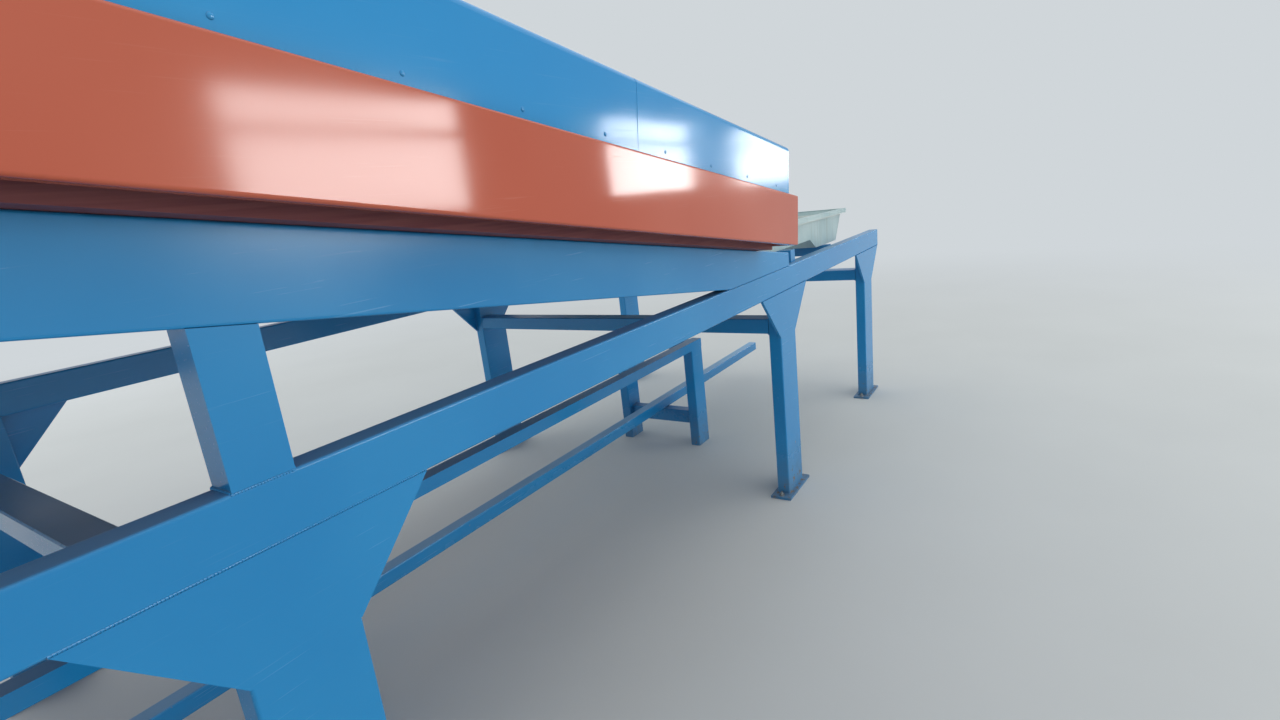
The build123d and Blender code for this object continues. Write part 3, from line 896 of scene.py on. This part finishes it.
# The lines that are welded, as pairs of points
def weldLines(size):
    half, run, drop, post = (size[key] * mm for key in ("legHalf", "gussetRun", "gussetDrop", "postHalf"))
    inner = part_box("rear_beam")[0].y
    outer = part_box("rear_beam")[1].y - size["inset"] * mm
    tieLow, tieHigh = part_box("cross_beam_1")
    tieWidth = tieHigh.x - tieLow.x
    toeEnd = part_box("front_incline_beam")[1].x
    slope = furnace["angle"]
    inclineFoot = outletX + (furnace["seatRise"] - size["inclineDepth"] / math.cos(slope)) * mm / math.tan(slope)
    underBeam = beamBottom + size["grooveSunk"] * mm
    overBeam = beamTop - size["grooveSunk"] * mm
    lines = []
    for side in (-1, 1):
        plate = side * (outer + (size["inset"] - size["gussetPlate"]) * mm)
        face = side * inner
        outside = side * outer
        for x in legX:
            # gussets and foot at the leg's two edges, then its beam, its foot and the tie behind it
            for way in (-1, 1):
                edge = x + way * half
                lines += [
                    ((edge, plate, beamBottom), (edge + way * run, plate, beamBottom)),
                    ((edge, plate, beamBottom - drop), (edge, plate, beamBottom)),
                    ((edge, face, plateTop), (edge, outside, plateTop)),
                ]
            tieStart = x - half
            tieEnd = tieStart + tieWidth
            lines += [
                ((x - half - run, outside, underBeam), (x + half + run, outside, underBeam)),
                ((x - half, face, beamBottom), (x + half, face, beamBottom)),
                ((x - half, face, plateTop), (x + half, face, plateTop)),
                ((tieStart, face, tieHigh.z), (tieEnd, face, tieHigh.z)),
                ((tieStart, face, tieLow.z), (tieEnd, face, tieLow.z)),
                ((tieEnd, face, tieLow.z), (tieEnd, face, tieHigh.z)),
            ]
        for x in legX[:2]:      # the posts stand over the first two legs
            left, right = x - post, x + post
            lines += [
                ((left, face, beamTop), (left, outside, beamTop)),
                ((right, face, beamTop), (right, outside, beamTop)),
                ((left, face, beamTop), (right, face, beamTop)),
                ((left, outside, overBeam), (right, outside, overBeam)),
            ]
        lines += [
            ((inclineFoot, outside, overBeam), (toeEnd, outside, overBeam)),
            ((inclineFoot, face, beamTop), (toeEnd, face, beamTop)),
            ((toeEnd, face, beamTop), (toeEnd, outside, beamTop)),
        ]
    return lines


def weldBeads(size):
    whole = bmesh.new()
    for start, end in weldLines(size):
        addBead(whole, Vector(start), Vector(end), size)
    return newPiece("weldBeads", whole, blueSection, size["smoothBelow"])


weldBeads(weld)
print("weld beads made")

# Finer beads where the tank's sloped ends meet its sides and its floor, painted with the tank
tankWeld = dict(weld, radius=2.6, pitch=4, belowRim=4, sunk=1)


def tankBeads(size):
    sunk = size["sunk"] * mm
    top = tankHigh.z - size["belowRim"] * mm
    left, right = tankLow.y + sunk, tankHigh.y - sunk
    whole = bmesh.new()
    for end, x, way in (("inlet", tankLow.x, 1), ("outlet", tankHigh.x, -1)):
        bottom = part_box(f"tank_{end}_end")[0].z - tankWater["wall"] * mm
        startX = x + way * ((tankHigh.z - top) * endSlant + sunk)
        endX = x + way * ((tankHigh.z - bottom) * endSlant + sunk)
        for y in (left, right):
            addBead(whole, Vector((startX, y, top)), Vector((endX, y, bottom + sunk)), size)
        addBead(whole, Vector((endX, left, bottom + sunk)), Vector((endX, right, bottom + sunk)), size)
    return newPiece("tankBeads", whole, tankPaint, size["smoothBelow"])


tankBeads(tankWeld)
print("tank beads made")


# Stage: pale floor and backdrop, soft light from above and both sides, and soft boxes for gloss alone

room = {"colour": "#D0D6DA", "lighting": 0.65, "fadeStart": 4.5, "fadeEnd": 12.0}


# One where the camera looks straight, by a mirror image or through water
def looksAt(tree):
    path = addNode(tree, "ShaderNodeLightPath")
    looks = addNode(tree, "ShaderNodeMath", {
        0: path.outputs["Is Camera Ray"], 1: path.outputs["Is Glossy Ray"],
    }, operation="MAXIMUM").outputs[0]
    return addNode(tree, "ShaderNodeMath", {
        0: looks, 1: path.outputs["Is Transmission Ray"],
    }, operation="MAXIMUM").outputs[0]


# Polished concrete, which fades into the backdrop's colour far from the machine
floorLook = {
    "colour": "#CFD2D1", "patchColour": "#C6C9C8", "patchWidth": 900, "grainWidth": 12, "grainDepth": 0.1,
    "roughness": 0.75, "halfSize": 60,
}


def polishedConcrete(name, look):
    material, tree, shader, place = startMaterial(name)
    patches = addNode(tree, "ShaderNodeTexNoise", {
        "Vector": place, "Scale": perMetre(look["patchWidth"]), "Detail": 6.0,
    }).outputs["Fac"]
    tone = addNode(tree, "ShaderNodeMix", {
        0: patches, 6: toLinear(look["colour"]), 7: toLinear(look["patchColour"]),
    }, data_type="RGBA").outputs[2]
    grain = addNode(tree, "ShaderNodeTexNoise", {
        "Vector": place, "Scale": perMetre(look["grainWidth"]), "Detail": 3.0,
    }).outputs["Fac"]
    rough = addNode(tree, "ShaderNodeBump", {
        "Height": grain, "Distance": look["grainDepth"] * mm, "Strength": 1.0,
    })
    tree.links.new(tone, shader.inputs["Base Color"])
    tree.links.new(rough.outputs["Normal"], shader.inputs["Normal"])
    shader.inputs["Roughness"].default_value = look["roughness"]
    away = addNode(tree, "ShaderNodeVectorMath", {0: place}, operation="LENGTH").outputs["Value"]
    faded = addNode(tree, "ShaderNodeMapRange", {
        "Value": away, "From Min": room["fadeStart"], "From Max": room["fadeEnd"],
    }, interpolation_type="SMOOTHSTEP").outputs["Result"]
    share = addNode(tree, "ShaderNodeMath", {0: faded, 1: looksAt(tree)}, operation="MULTIPLY").outputs[0]
    backdrop = addNode(tree, "ShaderNodeEmission", {"Color": toLinear(room["colour"]), "Strength": 1.0}).outputs[0]
    mixed = addNode(tree, "ShaderNodeMixShader", {0: share, 1: shader.outputs[0], 2: backdrop}).outputs[0]
    tree.links.new(mixed, tree.nodes["Material Output"].inputs["Surface"])
    return material


def layFloor(look):
    bm = bmesh.new()
    bmesh.ops.create_grid(bm, x_segments=1, y_segments=1, size=look["halfSize"])
    mesh = bpy.data.meshes.new("floor")
    bm.to_mesh(mesh)
    bm.free()
    mesh.materials.append(polishedConcrete("polished concrete", look))
    floor = bpy.data.objects.new("floor", mesh)
    bpy.context.scene.collection.objects.link(floor)


layFloor(floorLook)

# Each panel: its size and place, the point that it faces, its brightness, where 1 is white, and
# whether gloss shows it
panels = {
    "ceilingPanel": {
        "size": (30, 24), "place": (0, 0, 7.5), "aim": (0, 0, 0), "brightness": 0.48, "inGloss": True,
    },
    "frontPanel": {
        "size": (14, 4), "place": (4, -9.5, 2.6), "aim": (1, 0, 1), "brightness": 1.8, "inGloss": False,
    },
    "rearPanel": {
        "size": (14, 4), "place": (-2, 9.5, 2.6), "aim": (0, 0, 1), "brightness": 1.4, "inGloss": False,
    },
}
# Tall soft boxes in front of the machine, each with a low one over it, for gloss alone. They give the
# enamel the bright patches that it has in the photograph.
softBoxes = {
    "wallY": -9, "spans": ((3.1, 7.0), (11.5, 15.6), (19.1, 23.9)), "heights": ((1.7, 2.86), (2.98, 3.45)),
    "brightness": 11,
}


def addLamp(name, size, place, aim, brightness):
    area = bpy.data.lights.new(name, "AREA")
    area.shape = "RECTANGLE"
    area.size, area.size_y = size
    area.energy = brightness * math.pi * area.size * area.size_y
    lamp = bpy.data.objects.new(name, area)
    bpy.context.scene.collection.objects.link(lamp)
    lamp.location = place
    lamp.rotation_euler = (Vector(aim) - lamp.location).to_track_quat("-Z", "Y").to_euler()
    lamp.visible_camera = False
    return lamp


for name, panel in panels.items():
    lamp = addLamp(name, panel["size"], panel["place"], panel["aim"], panel["brightness"])
    lamp.visible_glossy = panel["inGloss"]
for left, right in softBoxes["spans"]:
    for bottom, top in softBoxes["heights"]:
        place = Vector(((left + right) / 2, softBoxes["wallY"], (bottom + top) / 2))
        ahead = place + Vector((0, 1, 0))
        lamp = addLamp("softBox", (right - left, top - bottom), place, ahead, softBoxes["brightness"])
        lamp.visible_diffuse = False

# The room: camera, gloss and water see its colour, and it lights the machine more softly than that
world = bpy.data.worlds.new("room")
bpy.context.scene.world = world
world.use_nodes = True
worldTree = world.node_tree
strength = addNode(worldTree, "ShaderNodeMapRange", {
    "Value": looksAt(worldTree), "To Min": room["lighting"], "To Max": 1.0,
}).outputs["Result"]
background = worldTree.nodes["Background"]
background.inputs["Color"].default_value = toLinear(room["colour"])
worldTree.links.new(strength, background.inputs["Strength"])

# Camera at the photograph's place: at eye height beside the second bay, tipped down and leaning
cameraView = {
    "place": (-1.25, -2.0305, 1.478), "heading": 33.55, "dip": 13.86, "lean": 6.31, "lens": 17.86,
    "clipStart": 0.05, "clipEnd": 300,
}


def aimCamera(view):
    heading, dip, lean = (math.radians(view[key]) for key in ("heading", "dip", "lean"))
    forward = Vector((math.cos(heading) * math.cos(dip), math.sin(heading) * math.cos(dip), -math.sin(dip)))
    level = Vector((math.sin(heading), -math.cos(heading), 0))
    upright = level.cross(forward)
    right = level * math.cos(lean) - upright * math.sin(lean)
    up = level * math.sin(lean) + upright * math.cos(lean)
    data = bpy.data.cameras.new("camera")
    data.lens = view["lens"]
    data.clip_start = view["clipStart"]
    data.clip_end = view["clipEnd"]
    camera = bpy.data.objects.new("camera", data)
    bpy.context.scene.collection.objects.link(camera)
    turn = Matrix((right, up, -forward)).transposed().to_4x4()
    camera.matrix_world = Matrix.Translation(view["place"]) @ turn
    bpy.context.scene.camera = camera


aimCamera(cameraView)
bpy.context.scene.view_settings.view_transform = "Standard"
print("stage set")
